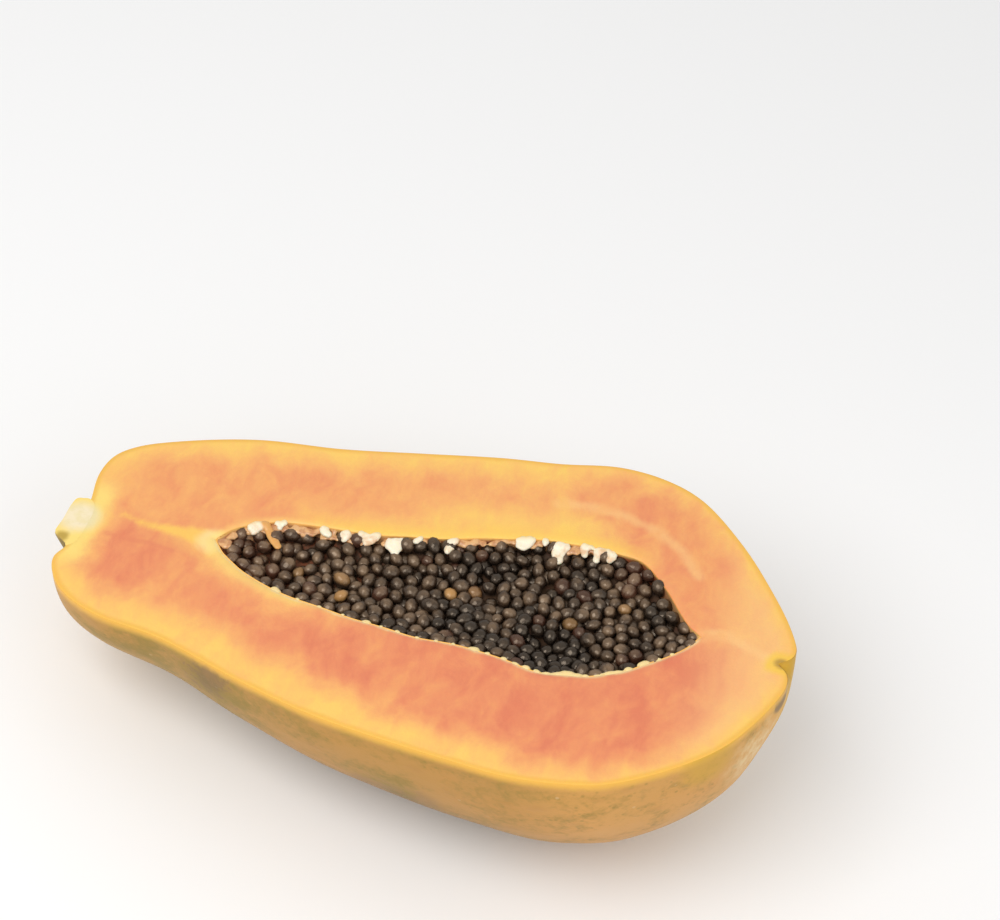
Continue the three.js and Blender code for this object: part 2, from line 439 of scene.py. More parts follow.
def redness(finish, spot, along, across):  # 0 for the palest flesh, 1 for the reddest
    rimGap, coreGap = finish.attribute("rimGap"), finish.attribute("coreGap")
    wander = finish.cloud(spot, flesh["wander"]) - 0.5
    far = across.between(-1, 11)
    near = 1 - far
    stalkSide = along.between(38, 14) * 5  # the pale band is narrower at the stalk
    broadSide = along.between(160, 178)  # and on the far side of the broad end
    slimmer = along.between(104, 150) * 3 + along.between(162, 192) * 4 + stalkSide
    nearBand = (rimGap + wander * 12 + slimmer).between(23, 4) * near
    farBand = (rimGap + wander * 9 + stalkSide * 0.5 + broadSide * 5).between(17, 1) * far
    farEdge = (coreGap + wander * 8 - along.between(112, 126) * 4).between(17, 2) * far
    farEdge = farEdge * along.between(68, 100) * along.between(190, 168) * 0.9
    nearEdge = (coreGap + wander * 6).between(14, 0) * near * along.between(118, 82) * 0.6
    blossomEnd = along.between(218, 243) * 0.66
    reddest = along.between(40, 110) * (flesh["nearRed"] - flesh["stalkRed"]) + flesh["stalkRed"]
    reddest = reddest + along.between(34, 24) * 0.1
    reddest = reddest - along.between(104, 116) * along.between(152, 138) * 0.07
    farRed = flesh["farRed"] - along.between(112, 134) * along.between(172, 156) * 0.12
    red = reddest * near + (farRed + broadSide * 0.07) * far
    for paler in (nearBand + farBand, farEdge, nearEdge, blossomEnd):
        red = red * (1 - paler)
    return red + 0.08


def fleshFinish():
    finish = Finish("papayaFlesh")
    spot = finish.spot()
    along, across, _ = finish.axes(spot)
    rimGap, coreGap = finish.attribute("rimGap"), finish.attribute("coreGap")
    mottle = finish.cloud(finish.stretched(spot, (1, 0.6, 1)), flesh["mottle"], 4, 0.6, 0.5)
    fibre = finish.cloud(finish.stretched(spot, (1, 0.55, 1)), flesh["fibre"], 3, 0.6, 0.3)
    grain = finish.cloud(spot, flesh["grain"], 2)
    wander = mottle - 0.5

    red = redness(finish, spot, along, across) + (mottle - 0.5) * 0.85 + (fibre - 0.5) * 0.24
    finish.colour = finish.node("ShaderNodeValToRGB", {"stops": flesh["tints"]}, {0: red})
    farEdge = (coreGap + wander * 8).between(9, 1) * across.between(2, 12)
    farEdge = farEdge * along.between(62, 96) * along.between(200, 178)
    finish.coat(farEdge * 0.8, flesh["yellow"])
    blossomPink = along.between(210, 238) * (rimGap + wander * 6).between(1, 7) * 0.5
    finish.coat(blossomPink, flesh["blossomPink"])
    veins = (finish.attribute("veinGap") + wander * 4).between(3.6, 0.2) * mottle.between(0.25, 0.5)
    finish.coat(veins * 0.42, flesh["vein"])

    opening = along.between(17, 52)  # the cleft opens towards the cavity
    cleft = (finish.attribute("cleftGap") + wander * 5 - opening * 3.6).between(2.4, -1.2)
    below = (finish.attribute("cleftGap") + wander * 8).between(13, 1)
    below = below * across.between(6, 2) * along.between(24, 46)
    finish.coat(below * 0.6, flesh["tints"][0][1])
    finish.coat(cleft * 0.85, flesh["yellow"])
    tip = (finish.gapTo(spot, flesh["tip"]) + wander * 5).between(7.5, 2.5)
    finish.coat(tip * 0.8, flesh["cream"])
    fold = (finish.attribute("foldGap") + wander * 2).between(1.7, 0.2) * 0.45
    finish.coat(fold, flesh["tints"][-1][1])

    stalkEnd = (along + wander * 4).between(10.5, 4) * across.between(-24, -13) * across.between(25, 14)
    finish.coat(stalkEnd * 0.9, flesh["stalkYellow"])
    stalkMiddle = (finish.gapTo(spot, flesh["stalkMiddle"]) + wander * 5).between(9.6, 4)
    finish.coat((rimGap + wander * 2).between(2.6, 0.6) * 0.75, flesh["rim"])
    finish.coat(stalkMiddle * 0.9, flesh["stalkCream"])
    lip = coreGap + wander * 2.6 + across.between(2, 8) * 3
    broadLip = (lip - along.between(96, 58) * 3).between(4, -0.5) * along.between(110, 80)
    finish.coat(broadLip * 0.55, flesh["stalkYellow"])
    finish.coat(lip.between(1.8, 0.4) * 0.75, flesh["cream"])
    notchGap = finish.gapTo(spot, flesh["notch"]) + wander * 4
    finish.coat(notchGap.between(7, 3.5) * 0.8, flesh["notchYellow"])
    finish.coat(notchGap.between(3.4, 1.4) * 0.8, flesh["scar"])
    lighter = {"Value": grain * 0.06 + 0.97, "Color": finish.colour}
    finish.colour = finish.node("ShaderNodeHueSaturation", None, lighter)
    inputs = {
        "Roughness": grain * 0.2 + 0.36,
        "Specular IOR Level": 0.3,
        **softInside(0.12, (0.004, 0.0018, 0.0008)),
        **wetCoat(0.08, 0.3),
    }
    return finish.surface(inputs, grain * 0.6 + fibre * 1.5 + mottle * 2, 0.3, 0.25)


def skinFinish():
    finish = Finish("papayaSkin", skin["tan"])
    spot = finish.spot()
    along, across, height = finish.axes(spot)
    patch = finish.cloud(spot, skin["patch"], 3, 0.55, 0.4)
    blotch = finish.cloud(finish.stretched(spot, (0.55, 1, 1)), skin["blotch"], 4, 0.62, 0.4)
    speckle = finish.cloud(spot, skin["speckle"], 4, 0.65, 0.3)
    pore = finish.cloud(spot, skin["pore"], 2)
    turn = height.calculate("ARCTAN2", across)
    stripes = (turn * 5 + patch * 4).calculate("COSINE").between(0.1, 0.95)

    sunny = across.between(-44, 26)
    broad = along.between(168, 204)
    finish.coat(broad * 0.85, skin["ripe"])
    finish.coat(sunny, skin["gold"])
    finish.coat(patch.between(0.5, 0.68) * (sunny * 0.7 + 0.1), skin["blush"])
    shoulder = along.between(104, 66) * along.between(14, 44) * across.between(16, -12)
    greener = (patch.between(0.52, 0.34) * 0.5).highest(shoulder * 0.55)
    greener = greener + stripes * sunny * 0.5 - broad * 0.2
    mottles = (blotch * 0.6 + speckle * 0.4 + greener * 0.2 - sunny * 0.04).between(0.44, 0.72)
    dark = finish.blend(sunny, skin["olive"], skin["freckle"])
    finish.coat(mottles * 0.85, dark)
    freckles = finish.dots(spot, 2.6).between(0.34, 0.1) * (blotch + greener * 0.1).between(0.42, 0.6)
    finish.coat(freckles * 0.5, skin["olive"])
    # painted shade: the skin darker towards the underside, more towards the stalk end
    low = height.between(-24, -58) * (along.between(186, 150) * 0.45 + 0.25)
    finish.coat(low, skin["shade"])

    bruises = finish.dots(finish.stretched(spot, (0.55, 1, 1)), 11) + (speckle - 0.5) * 0.5
    bruises = bruises.between(0.24, 0.04) * patch.between(0.42, 0.54)
    finish.coat(bruises * (sunny * 0.6 + 0.1), skin["bruise"])
    crack = finish.cloud(finish.stretched(spot, (0.5, 1, 1)), 17, 3, 0.5, 1)
    crack = (crack - 0.5).calculate("ABSOLUTE")
    lines = crack.between(0.014, 0.003) * mottles.between(0.3, 0.6) * patch.between(0.5, 0.6)
    finish.coat(lines * (sunny * 0.4 + 0.1), skin["scar"])
    flecks = finish.dots(spot, 9.5).between(0.09, 0.05) * blotch.between(0.46, 0.54)
    finish.coat(flecks * (sunny * 0.3 + 0.2), skin["fleck"])
    wax = (finish.gapTo(spot, skin["waxPlace"]) + blotch * 18).between(26, 13)
    finish.coat(wax * speckle.between(0.25, 0.65) * 0.65, skin["wax"])
    # darker patches in the shade colour; the lowest one is painted shade near the floor
    for place, reach, strength in skin["darkPlaces"]:
        darker = (finish.gapTo(spot, place) + (mottles - 0.5) * reach).between(reach, reach * 0.5)
        finish.coat(darker * strength, skin["shade"])
    edge = (height + speckle * 2 - 1).between(-4.4, -0.3)
    finish.coat(edge * 0.85, flesh["rim"])
    for place, reach, strength in skin["goldPlaces"]:
        golden = (finish.gapTo(spot, place) + (speckle - 0.5) * 4).between(reach, reach * 0.5)
        finish.coat(golden * strength, skin["oliveGold"])
    inputs = {
        "Roughness": blotch * 0.25 + 0.36,
        "Specular IOR Level": 0.25,
        **softInside(0.03, (0.003, 0.0015, 0.0005)),
        **wetCoat(0.05, 0.25),
    }
    return finish.surface(inputs, pore * 0.5 + blotch - flecks * 0.4 + bruises * 0.4, 0.4, 0.3)


def liningFinish():
    finish = Finish("cavityLining", lining["membrane"])
    spot = finish.spot()
    along, _, height = finish.axes(spot)
    film = finish.cloud(spot, lining["film"], 4, 0.6, 0.5)
    farEnd = along.between(180, 188) * along.between(206, 198)
    sore = finish.cloud(spot, lining["sore"], 2).between(0.46, 0.6).highest(farEnd)
    finish.coat(sore * 0.85, lining["red"])
    finish.coat((height + film).between(-1.4, 0.2), lining["lip"])
    inputs = {"Roughness": film * 0.2 + 0.25, **wetCoat(0.3, 0.2)}
    return finish.surface(inputs, film, 0.5, 0.5)


def shapedHull(name, form):  # the half of a round hull that lies below the cut plane
    piece = lyingBall(name, form["sides"], form["rings"])
    keepLowerHalf(1e-5, closed=False)
    writePoints(piece, ontoHull(form, readPoints(piece), form["rings"]) * mm)
    return piece


def roughenSkin(piece):  # soft dents, none at the rim
    points = readPoints(piece) / mm
    normals = np.empty(points.size)
    piece.data.vertices.foreach_get("normal", normals)
    normals = normals.reshape(-1, 3)
    depth = np.clip(-points[:, 2] / body["dentStart"], 0, 1)
    swell = np.array([noise.noise(Vector(p) / body["dentSize"]) for p in points])
    writePoints(piece, (points + normals * (swell * body["dents"] * depth)[:, None]) * mm)


def pinchBlossomEnd(piece):  # the scar where the blossom sat
    along, across, depth, radius = body["blossomDent"]
    points = readPoints(piece) / mm
    away = np.linalg.norm(points - np.array([along, across, 0]), axis=1)
    points[:, 0] -= depth * np.exp(-((away / radius) ** 2))
    writePoints(piece, points * mm)


def selectSeams(piece):  # the edges where two materials meet
    mesh = bmesh.from_edit_mesh(piece.data)
    for edge in mesh.edges:
        edge.select = len({face.material_index for face in edge.link_faces}) > 1
    bmesh.update_edit_mesh(piece.data)


def cutFace(name):  # the flat ring of flesh between the rim and the cavity's mouth
    around, across = 2 * body["rings"], body["faceRows"]
    clearSelection()
    bpy.ops.mesh.primitive_grid_add(x_subdivisions=around, y_subdivisions=across, size=2)
    piece = newest(name)
    grid = readPoints(piece)
    column = np.rint((grid[:, 0] + 1) / 2 * around).astype(int) % around
    row = ((grid[:, 1] + 1) / 2)[:, None]
    edges = []
    for form in (body, cavity):
        far, near, _ = rails(form, evenShares(form, form["rings"]))
        edges.append(np.vstack([far[:-1], near[:0:-1]]))
    outer, inner = (edge[column] for edge in edges)
    writePoints(piece, (outer + (inner - outer) * row) * mm)
    return piece


def makeHalf():
    half = shapedHull("papayaHalf", body)
    wall = shapedHull("cavityWall", cavity)
    face = cutFace("cutFace")
    for piece, finish in ((half, skinFinish()), (wall, liningFinish()), (face, fleshFinish())):
        piece.data.materials.append(finish)
    half = joinPieces([half, wall, face], "papayaHalf")
    bpy.ops.object.mode_set(mode="EDIT")
    bpy.ops.mesh.select_all(action="SELECT")
    bpy.ops.mesh.remove_doubles(threshold=0.01 * mm)
    bpy.ops.mesh.normals_make_consistent(inside=False)
    bpy.ops.mesh.select_mode(type="EDGE")
    selectSeams(half)
    bpy.ops.mesh.bevel(offset=body["rimRound"] * mm, segments=2, affect="EDGES")
    bpy.ops.object.mode_set(mode="OBJECT")
    roughenSkin(half)
    pinchBlossomEnd(half)
    return half


def cutSocket(half, cutter):  # makes room for the stalk's stub
    takeUp(half)
    room = half.modifiers.new("stubRoom", "BOOLEAN")
    room.object, room.operation, room.solver = cutter, "DIFFERENCE", "MANIFOLD"
    bpy.ops.object.modifier_apply(modifier=room.name)
    bpy.data.objects.remove(cutter)


def markHalf(half):  # how far each point is from the rim, the cavity and the veins
    points = readPoints(half) / mm
    flat = points[:, :2]
    rimGap = outlineDistance(flat, rimOutline(body))
    coreGap = outlineDistance(flat, rimOutline(cavity))
    onFace = points[:, 2] > -body["faceDepth"]
    long, short = body["waveSizes"]
    waves = [noise.noise(Vector(p) / long) + 0.5 * noise.noise(Vector(p) / short) for p in points]
    margin = body["waveMargin"]
    inner = np.clip((rimGap - margin) / 2, 0, 1) * np.clip((coreGap - margin) / 2, 0, 1)
    sag = body["mouthSag"] * np.clip(1 - coreGap / body["mouthWidth"], 0, 1) ** 2
    moved = points.copy()
    moved[:, 2] += onFace * ((np.array(waves) - 0.5) * body["faceWaves"] * inner - sag)
    writePoints(half, moved * mm)
    writeAttribute(half, "fruitSpot", points)
    writeAttribute(half, "rimGap", rimGap)
    writeAttribute(half, "coreGap", coreGap)
    veins = [outlineDistance(flat, line) for line in flesh["veins"]]
    writeAttribute(half, "veinGap", np.minimum.reduce(veins))
    for name in ("cleft", "fold"):
        writeAttribute(half, name + "Gap", outlineDistance(flat, flesh[name]))


def layDown(piece):  # pressed flat where it touches the surface
    points = readPoints(piece)
    points[:, 2] = np.maximum(points[:, 2], 0)
    writePoints(piece, points)


stub = {
    "radius": 11.8,
    "length": 6,
    "root": 3.4,
    # share of the radius, and of the length outwards or of the root inwards
    "outline": [
        (0, -1), (0.45, -0.97), (0.8, -0.7), (1, 0), (0.99, 0.45), (0.93, 0.85), (0.74, 1), (0, 0.96),
    ],
    "sides": 72,
    "rings": 56,
    "clearance": 0.02,
    "rough": 0.55,
    "lump": 3.1,  # size of its unevenness
    "notch": (0.4, -10.6, 1.2, 2.6),  # place along and across, depth, radius
    "slant": 0.7,  # how much shorter its far side is
    "corner": (-10.8, 1.35),  # where the slope of its near corner starts, and how steep it is
    "taper": 0.75,  # how much shallower its end is
    "stain": (-3, -7.9, 0),
    "olive": paint(172, 140, 50),
    "cream": paint(244, 228, 192),
    "bark": paint(136, 118, 56),
    "dry": paint(190, 160, 100),
    "crack": paint(112, 84, 50),
}


def stubFinish():
    finish = Finish("stalkFinish", flesh["stalkCream"])
    spot = finish.spot()
    _, _, depth = finish.axes(spot)
    fibre = finish.cloud(finish.stretched(spot, (0.3, 1, 1)), 1.3, 5, 0.65, 0.4)
    lump = finish.cloud(spot, 4.5, 3)
    reach = finish.gapTo(finish.stretched(spot, (0, 1, 1)), (0, 0, 0))
    finish.coat(lump.between(0.35, 0.6), stub["cream"])
    finish.coat(fibre.between(0.55, 0.75) * 0.25, stub["dry"])
    yellower = (finish.gapTo(spot, flesh["stalkMiddle"]) + (lump - 0.5) * 5).between(4, 9.6)
    finish.coat(yellower, flesh["stalkYellow"])
    stain = (finish.gapTo(spot, stub["stain"]) + lump * 2).between(4.6, 2)
    finish.coat(stain * 0.8, stub["olive"])
    outside = finish.blend((reach + lump * 5).between(8, 12.5), stub["dry"], stub["bark"])
    outside = finish.blend(fibre.between(0.45, 0.7) * 0.5, outside, stub["crack"])
    bark = (depth + fibre).between(0.3, -0.6)
    finish.coat(bark, outside)
    height = (fibre * 1.5 + lump) * (bark * 0.85 + 0.15)
    return finish.surface({"Roughness": fibre * 0.2 + 0.6}, height, 0.7, 0.6)


def turnedStub(name, extra):  # the whole stub, or one larger by extra to cut its socket
    piece = lyingBall(name, stub["sides"], stub["rings"])
    ball = readPoints(piece)
    share = np.arccos(np.clip(ball[:, 0], -1, 1)) / math.pi
    reach = {True: stub["length"], False: stub["root"]}
    corners = [(r * stub["radius"], -a * reach[a > 0], 0) for r, a in stub["outline"]]
    radius, along, _ = alongRail(corners, share).T
    turn = np.arctan2(ball[:, 2], ball[:, 1])
    radius = radius + extra * np.clip(radius / 2, 0, 1)
    along = along + extra * np.where(along > 4, 1, np.where(along < -5, -1, 0))
    writePoints(piece, np.stack([along, radius * np.cos(turn), radius * np.sin(turn)], 1) * mm)
    return piece


def makeStub():
    piece = turnedStub("stalkStub", 0)
    keepLowerHalf(1e-7, closed=True)
    points = readPoints(piece) / mm
    along, across, depth, radius = stub["notch"]
    away = np.linalg.norm(points - np.array([along, across, 0]), axis=1)
    outside = np.clip(-points[:, 0] / 2, 0, 1)
    rough = np.array([noise.noise(Vector(p) / stub["lump"]) for p in points]) * stub["rough"] * outside
    reach = np.maximum(np.linalg.norm(points[:, 1:], axis=1), 1e-6)
    scale = 1 + (rough - depth * np.exp(-((away / radius) ** 2)) * outside) / np.maximum(reach, 3)
    points[:, 1:] *= scale[:, None]
    farShare = np.clip((points[:, 1] + 3) / stub["radius"], 0, 1)
    points[:, 0] += stub["slant"] * farShare * np.clip(-points[:, 0] / stub["length"], 0, 1)
    start, steepness = stub["corner"]
    corner = np.clip((points[:, 1] - start) * steepness / stub["length"], 0.08, 1)
    points[:, 0] *= np.where(points[:, 0] < 0, corner, 1)
    points[:, 2] *= 1 - stub["taper"] * np.clip(-points[:, 0] / stub["length"], 0, 1)
    writePoints(piece, points * mm)
    writeAttribute(piece, "fruitSpot", points)
    piece.data.materials.append(stubFinish())
    return piece


seeds = {
    "size": (6.4, 5.5, 5.2),
    "sizes": (0.86, 1.06),  # range of their sizes
    "uneven": (0.88, 1.08),  # and of each seed's length, width and height
    "sides": 10,
    "rings": 6,
    "pitch": 5.35,
    "rowHeight": 0.866,  # share of the pitch
    "inset": 2.1,  # how far the centres stay from the wall
    "insetNear": 1.12,  # share of it at the near wall, at the far wall and at the blossom end
    "insetFar": 0.7,
    "insetEnd": 1.2,
    "endReach": 9,  # they come closer to the wall towards the blossom end
    "tipGap": 7,
    "tipSeeds": [(214.8, 4.4), (211.4, 1.4), (211, 7.8)],
    "edgeDrop": 2.5,  # centres below the cut face, beside the wall
    "bowl": 3.6,  # and how much deeper in the middle
    "bowlReach": 17,
    "jitter": 0.9,
    # the seeds in this deep spot are also painted darker, as shade
    "deepSpot": (172, -11, 14, 8, 1.8),  # place along and across, reach along and across, depth
    "gapDrop": 2.3,  # how much deeper the seeds in the gaps lie
    "gapPlaces": 5000,
    "gapFromTop": 0.5,  # shares of the pitch: least distance from the seeds on top
    "gapApart": 0.8,  # and from each other
    "mushDrop": 2.4,
    "swirl": 7,  # how far the rows are drawn out of line
    "swirlSize": 14,
    "shake": 0.22,  # share of the pitch
    "rounds": 12,
    "apart": 0.97,  # share of the pitch
    "push": 0.42,  # how far they move apart in a round
    "shadeSize": 13,
    # seeds that are not black: place along and across, and how pale
    "amberPlaces": [
        (98, -4, 0.75), (92, 0.6, 0.4), (78, 1.8, 0.35), (130, 6, 0.9), (139, 8, 0.3),
        (188, 15, 0.4), (172, 3, 0.35),
    ],
    # where the bed is paler or darker: place along and across, reach, change
    "shadePlaces": [
        (88, 4, 18, 0.4), (62, 3, 13, 0.55), (97, -8, 8, 0.25), (122, 9, 8, 0.35),
        (126, -12, 6, 0.3), (151, 16, 8, 0.3), (172, -12, 12, -0.9), (133, -5, 7, -0.5),
        (141, 18, 6, -0.5), (186, 20, 9, 0.35), (190, -13, 7, 0.3), (209, 2, 8, 0.4),
        (203, 17, 5, -0.5),
    ],
    "redSpot": (190, 30, 5),  # place along and across, reach
    "redEnd": (54, 26, 0.6),  # start, reach and strength at the slim end
    "redShare": (0.05, 0.6),  # how many others are reddish, and how much
    "black": paint(26, 20, 16),
    "brown": paint(62, 45, 32),
    # pale colour of the painted highlight on each seed's lit side
    "film": paint(140, 114, 88),
    "red": paint(92, 54, 40),
    "amber": paint(190, 140, 80),
    "mush": paint(80, 59, 43),
    "redMush": paint(128, 74, 48),
}


def seedFinish():
    finish = Finish("papayaSeed", seeds["black"])
    spot = finish.spot()
    tone, red, lift = (finish.attribute(name) for name in ("seedTone", "seedRed", "seedLift"))
    wrinkle = finish.dots(spot, 1.4)
    film = finish.cloud(spot, 1.8, 3)
    # painted shade: each seed stays black on the flanks away from the light and goes browner towards it,
    # by its tone
    brownerWhereLit = (tone + (film - 0.5) * 0.6).between(0.1, 0.95) * lift.between(-0.7, 0.6)
    finish.coat(brownerWhereLit, seeds["brown"])
    finish.coat(red * 0.75, seeds["red"])
    # painted highlight: the pale film colour on the side of each seed towards the light
    pale = (lift + (film - 0.5) * 0.8).between(0.45, 1.15) * (tone.between(0.2, 1) * 0.65 + 0.05)
    finish.coat(pale, seeds["film"])
    # the amber seeds' own colour, laid only on their lit side, so partly a painted highlight
    amber = finish.attribute("seedAmber") * (lift + film * 0.6).between(0.35, 1.1)
    finish.coat(amber, seeds["amber"])
    inputs = {
        "Roughness": film * 0.2 + 0.17,
        "Specular IOR Level": 0.85,
        "Specular Tint": (1, 0.82, 0.64, 1),
    }
    return finish.surface(inputs, wrinkle + film, 0.35, 0.4)


def mushFinish():
    finish = Finish("seedMush", seeds["mush"])
    spot = finish.spot()
    film = finish.cloud(spot, 2.4, 3)
    along, _, _ = finish.axes(spot)
    finish.coat(film.between(0.45, 0.75) * 0.5, seeds["red"])
    finish.coat(along.between(124, 84) * film.between(0.35, 0.6), seeds["redMush"])
    inputs = {"Roughness": film * 0.2 + 0.4, "Specular IOR Level": 0.25}
    return finish.surface(inputs, film, 0.5, 0.5)


fine = np.linspace(0, 1, 400)
mouthFar, mouthNear, _ = rails(cavity, fine)
mouth = rimOutline(cavity, 120)


def edgeAt(edge, along):
    return np.interp(along, edge[:, 0], edge[:, 1])


def keepInside(points):
    inset = seeds["inset"]
    tips = cavity["start"] + seeds["tipGap"], cavityEnd - seeds["insetEnd"] * inset
    points[:, 0] = np.clip(points[:, 0], *tips)
    inset = inset * np.clip((cavityEnd - points[:, 0]) / seeds["endReach"], 0.35, 1)
    low = edgeAt(mouthNear, points[:, 0]) + seeds["insetNear"] * inset
    high = edgeAt(mouthFar, points[:, 0]) - seeds["insetFar"] * inset
    middle = (low + high) / 2
    points[:, 1] = np.clip(points[:, 1], np.minimum(low, middle), np.maximum(high, middle))


def anywhere(count, draw):  # places all over the cavity's mouth
    width = mouthFar[:, 1] - mouthNear[:, 1]
    points = np.array([(draw.random(), draw.random()) for _ in range(count)])
    points[:, 0] = np.interp(points[:, 0], np.cumsum(width) / width.sum(), mouthFar[:, 0])
    low, high = edgeAt(mouthNear, points[:, 0]), edgeAt(mouthFar, points[:, 0])
    points[:, 1] = low + (high - low) * points[:, 1]
    return points


def scatter(draw):  # seeds in warped rows, shaken until they lie apart
    pitch, swirl = seeds["pitch"], seeds["swirl"]
    rows = [(r, c + 0.5 * (r % 2)) for r in range(-20, 20) for c in range(-20, 40)]
    points = np.array([(c * pitch, r * pitch * seeds["rowHeight"]) for r, c in rows])
    points += [cavity["start"] + 40, cavity["shift"]]
    for point in points:
        swell = [noise.noise(Vector((*point, layer)) / seeds["swirlSize"]) for layer in (5, 75)]
        point += [share * swirl + draw.gauss(0, seeds["shake"]) * pitch for share in swell]
    low, high = edgeAt(mouthNear, points[:, 0]), edgeAt(mouthFar, points[:, 0])
    inside = (points[:, 1] > low + 1) & (points[:, 1] < high - 0.5)
    inside &= (points[:, 0] > cavity["start"] + seeds["tipGap"] - 1) & (points[:, 0] < cavityEnd - 2.5)
    points = np.vstack([points[inside], seeds["tipSeeds"]])
    for _ in range(seeds["rounds"]):
        apart = points[:, None] - points
        distance = np.linalg.norm(apart, axis=2) + np.eye(len(points)) * 1e3 + 1e-6
        overlap = np.clip(pitch * seeds["apart"] - distance, 0, None)[..., None]
        points = points + seeds["push"] * (overlap * apart / distance[..., None]).sum(1)
        keepInside(points)
    return points


def fillGaps(above, draw):  # seeds that show between the ones on top
    points = anywhere(seeds["gapPlaces"], draw)
    keepInside(points)
    clear = np.linalg.norm(points[:, None] - above, axis=2).min(1) > seeds["gapFromTop"] * seeds["pitch"]
    found = []
    for point in points[clear]:
        if all(math.dist(point, other) > seeds["gapApart"] * seeds["pitch"] for other in found):
            found.append(point)
    return np.array(found)


def deepness(points):  # 1 in the middle of the deepest spot of the bed
    along, across, reachAlong, reachAcross, _ = seeds["deepSpot"]
    spot = ((points[:, 0] - along) / reachAlong) ** 2 + ((points[:, 1] - across) / reachAcross) ** 2
    return np.exp(-spot)


def bedHeight(points):  # the bed of seeds is a shallow bowl
    dip = np.clip(outlineDistance(points, mouth) / seeds["bowlReach"], 0, 1)
    tip = 0.6 * np.exp(-(((cavityEnd - points[:, 0]) / 5) ** 2))
    bowl = seeds["bowl"] * dip * (2 - dip)
    return -seeds["edgeDrop"] - tip - bowl - seeds["deepSpot"][4] * deepness(points)


def seedShade(point):  # from 0 for the blackest seeds
    shade = 0.5 + 0.8 * noise.noise(Vector((*point, 0)) / seeds["shadeSize"])
    for along, across, reach, change in seeds["shadePlaces"]:
        shade += 2 * change * math.exp(-((math.dist(point, (along, across)) / reach) ** 2))
    return shade


def modelSeed():
    seed = lyingBall("seed", seeds["sides"], seeds["rings"], 0.5)
    points = readPoints(seed)
    pinch = 1 - 0.28 * np.clip(points[:, 0] * 2, 0, 1) ** 2  # one end is a little narrower
    points[:, 1:] *= pinch[:, None]
    writePoints(seed, points)
    return seed


def placedSeed(pattern, place, draw):
    size = draw.uniform(*seeds["sizes"])
    size = size * np.array([side * draw.uniform(*seeds["uneven"]) for side in seeds["size"]])
    place = Vector(place) + Vector((0, 0, draw.uniform(-1, 1) * seeds["jitter"]))
    turns = (("Z", 0, 6.28), ("Y", -0.9, 0.9), ("X", 0, 6.28))
    turn, lean, roll = (Matrix.Rotation(draw.uniform(low, high), 4, axis) for axis, low, high in turns)
    lying = Matrix.Translation(place * mm) @ (turn @ lean) @ roll
    shape = pattern.data.copy()
    shape.transform(lying @ Matrix.Diagonal((*size, 1 / mm)) * mm)
    seed = putIn("seed", shape)
    points = readPoints(seed) / mm
    # the side of each seed towards the light: the finish paints a highlight there and painted shade on
    # the flanks away from it
    towardLight = Vector((draw.uniform(-0.5, 0.5), draw.uniform(-0.7, 0.3), 1)).normalized()
    writeAttribute(seed, "fruitSpot", points)
    writeAttribute(seed, "seedLift", (points - np.array(place)) @ np.array(towardLight) * 2 / size[2])
    return seed


def makeSeeds():
    draw = random.Random(31)
    pattern = modelSeed()
    top = scatter(draw)
    gaps = fillGaps(top, draw)
    amber = {}
    for *place, pale in seeds["amberPlaces"]:
        amber[int(np.linalg.norm(top - np.array(place), axis=1).argmin())] = pale
    redStart, redReach, redEnd = seeds["redEnd"]
    odds, redOther = seeds["redShare"]
    *redPlace, redRadius = seeds["redSpot"]
    copies = []
    # the seeds in the gaps lie lower and get 0.65 of the tone: painted shade between the seeds on top
    for layer, drop, share in ((top, 0, 1), (gaps, seeds["gapDrop"], 0.65)):
        places = zip(layer, bedHeight(layer) - drop, deepness(layer))
        for number, (point, height, deepShade) in enumerate(places):
            seed = placedSeed(pattern, (*point, height), draw)
            # painted shade: the seeds in the deep spot of the bed are darker
            tone = (draw.random() * 0.55 + seedShade(point) * 0.58) * (1 - 0.6 * deepShade) * share
            reddish = max(0, 1 - (point[0] - redStart) / redReach) * redEnd
            reddish += redOther if draw.random() < odds else 0
            reddish += math.exp(-((math.dist(point, redPlace) / redRadius) ** 2))
            pale = amber.get(number, 0) if drop == 0 else 0
            for name, value in (("seedTone", tone), ("seedRed", min(1, reddish)), ("seedAmber", pale)):
                writeAttribute(seed, name, np.full(len(seed.data.vertices), float(value)))
            copies.append(seed)
    bpy.data.objects.remove(pattern)
    bed = joinPieces(copies, "seedBed")
    bed.data.materials.append(seedFinish())
    print("seeds", len(top), "on top and", len(gaps), "in the gaps")
    return bed


def makeMush():  # the wet core that the seeds sit in
    sides, rings, width = 64, 90, 0.975
    mush = lyingBall("seedMush", sides, rings)
    ball = readPoints(mush)
    points = ontoHull(cavity, ball, rings)
    centre = np.array([cavity["start"] + cavity["length"] / 2, cavity["shift"]])
    points[:, :2] = centre + (points[:, :2] - centre) * width
    top = ball[:, 2] > -1e-6
    floor = -seeds["edgeDrop"] - seeds["mushDrop"]
    points[~top, 2] = floor + points[~top, 2] * (1 + floor / cavity["depth"]) * 0.98
    crown = bedHeight(points[top][:, :2]) - seeds["mushDrop"]
    points[top, 2] = np.minimum(crown, floor)
    writePoints(mush, points * mm)
    writeAttribute(mush, "fruitSpot", points)
    mush.data.materials.append(mushFinish())
    return mush


